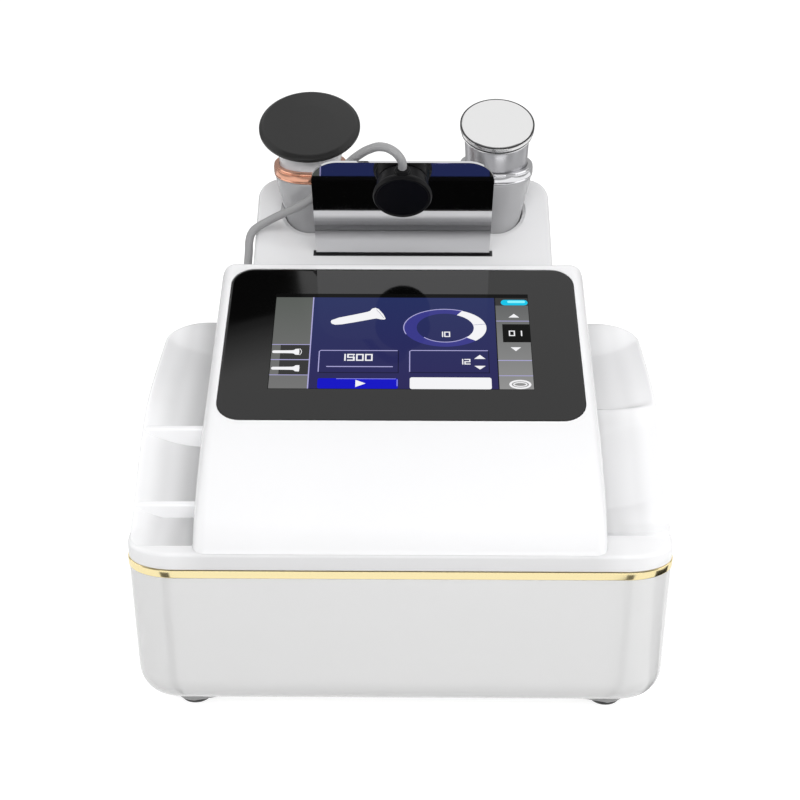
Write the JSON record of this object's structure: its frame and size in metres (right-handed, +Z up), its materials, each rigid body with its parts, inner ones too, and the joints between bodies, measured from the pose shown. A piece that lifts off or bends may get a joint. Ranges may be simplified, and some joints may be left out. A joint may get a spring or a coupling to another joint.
{
  "type": "diathermy machine",
  "caption": "Tabletop radio-frequency treatment machine with a sloping touch screen, storage wings, two upright handpieces and a steel return plate on a lead.",
  "frame": {"origin": "on the table under the centre of the case", "axes": "+X to the operator's right, +Y from the front to the rear, +Z up"},
  "size_m": [0.3012, 0.3885, 0.2911],
  "materials": {
    "base_tub": "glossy light grey",
    "gold_trim_band": "polished gold",
    "upper_shell": "glossy white",
    "console_cover": "glossy white",
    "rear_deck": "glossy grey-white",
    "screen_glass": "glossy black",
    "glass_gasket": "matte",
    "display_panel": "lit display",
    "display_frame": "matte",
    "control_board": "circuit board",
    "board_standoffs": "turned",
    "speaker": "paper cone",
    "left_holder_cup": "matte",
    "right_holder_cup": "matte",
    "plate_slot_liner": "matte black",
    "chassis_plate": "zinc plated",
    "power_supply": "satin cage",
    "generator_board": "circuit board",
    "heat_sink": "anodised",
    "output_transformer": "enamelled winding",
    "fan_housing": "matte black",
    "fan_rotor": "matte black",
    "fan_guard": "plated wire",
    "rear_panel": "satin grey paint",
    "mains_inlet": "black",
    "fuse_drawer": "black",
    "fuse": "clear tube",
    "rocker_frame": "black",
    "rocker_switch": "black",
    "handpiece_sockets": "plated",
    "rubber_feet": "matte black",
    "foot_mounts": "light grey",
    "foot_screws": "zinc plated",
    "case_screws": "zinc plated",
    "cover_screws": "zinc plated",
    "panel_screws": "zinc plated",
    "left_grip": "glossy grey-white",
    "left_collar": "rose gold plated",
    "left_contact_socket": "insulator",
    "left_end_cap": "matte",
    "left_electrode_disc": "black coating",
    "left_electrode_neck": "glossy white",
    "left_contact_stud": "gold plated",
    "right_grip": "glossy grey-white",
    "right_collar": "polished",
    "right_contact_socket": "insulator",
    "right_end_cap": "matte",
    "right_electrode_disc": "polished",
    "right_electrode_neck": "polished",
    "right_contact_stud": "gold plated",
    "return_plate": "mirror polished steel",
    "connector_knob": "satin black",
    "knob_stud": "zinc plated",
    "lead_gland": "matte black",
    "lead_loop": "grey jacket",
    "lead_run": "grey jacket",
    "lead_coil": "grey jacket",
    "lead_tail": "grey jacket"
  },
  "bodies": {
    "machine": {"base_tub": "base_tub", "gold_trim_band": "gold_trim_band", "upper_shell": "upper_shell", "console_cover": "console_cover", "rear_deck": "rear_deck", "screen_glass": "screen_glass", "glass_gasket": "glass_gasket", "display_panel": "display_panel", "display_frame": "display_frame", "control_board": "control_board", "board_standoffs": "board_standoffs", "speaker": "speaker", "left_holder_cup": "left_holder_cup", "right_holder_cup": "right_holder_cup", "plate_slot_liner": "plate_slot_liner", "chassis_plate": "chassis_plate", "power_supply": "power_supply", "generator_board": "generator_board", "heat_sink": "heat_sink", "output_transformer": "output_transformer", "fan_housing": "fan_housing", "fan_guard": "fan_guard", "rear_panel": "rear_panel", "mains_inlet": "mains_inlet", "rocker_frame": "rocker_frame", "handpiece_sockets": "handpiece_sockets", "rubber_feet": "rubber_feet", "foot_mounts": "foot_mounts", "foot_screws": "foot_screws", "case_screws": "case_screws", "cover_screws": "cover_screws", "panel_screws": "panel_screws", "lead_gland": "lead_gland", "lead_run": "lead_run", "lead_coil": "lead_coil", "lead_tail": "lead_tail"},
    "left_handpiece": {"left_grip": "left_grip", "left_collar": "left_collar", "left_contact_socket": "left_contact_socket", "left_end_cap": "left_end_cap"},
    "right_handpiece": {"right_grip": "right_grip", "right_collar": "right_collar", "right_contact_socket": "right_contact_socket", "right_end_cap": "right_end_cap"},
    "left_electrode": {"left_electrode_disc": "left_electrode_disc", "left_electrode_neck": "left_electrode_neck", "left_contact_stud": "left_contact_stud"},
    "right_electrode": {"right_electrode_disc": "right_electrode_disc", "right_electrode_neck": "right_electrode_neck", "right_contact_stud": "right_contact_stud"},
    "return_plate": {"return_plate": "return_plate", "connector_knob": "connector_knob", "knob_stud": "knob_stud", "lead_loop": "lead_loop"},
    "fuse_drawer": {"fuse_drawer": "fuse_drawer", "fuse": "fuse"},
    "fan_rotor": {"fan_rotor": "fan_rotor"},
    "rocker": {"rocker_switch": "rocker_switch"}
  },
  "joints": [
    {"name": "left_handpiece_lift", "type": "slide", "parent": "machine", "child": "left_handpiece", "axis": [0, 0, 1], "range_m": [0, 0.085]},
    {"name": "right_handpiece_lift", "type": "slide", "parent": "machine", "child": "right_handpiece", "axis": [0, 0, 1], "range_m": [0, 0.085]},
    {"name": "left_electrode_pull", "type": "slide", "parent": "left_handpiece", "child": "left_electrode", "axis": [0, 0, 1], "range_m": [0, 0.014]},
    {"name": "right_electrode_pull", "type": "slide", "parent": "right_handpiece", "child": "right_electrode", "axis": [0, 0, 1], "range_m": [0, 0.014]},
    {"name": "return_plate_lift", "type": "slide", "parent": "machine", "child": "return_plate", "axis": [0, -0.4648, 0.8854], "range_m": [0, 0.0125]},
    {"name": "fuse_drawer_slide", "type": "slide", "parent": "machine", "child": "fuse_drawer", "axis": [0, 1, 0], "range_m": [0, 0.016]},
    {"name": "fan_spin", "type": "hinge", "parent": "machine", "child": "fan_rotor", "pos_m": [0.0725, 0.13, 0.066], "axis": [0, 1, 0], "continuous": true},
    {"name": "rocker_tilt", "type": "hinge", "parent": "machine", "child": "rocker", "pos_m": [-0.002, 0.1338, 0.066], "axis": [1, 0, 0], "range_deg": [0, 16]}
  ]
}
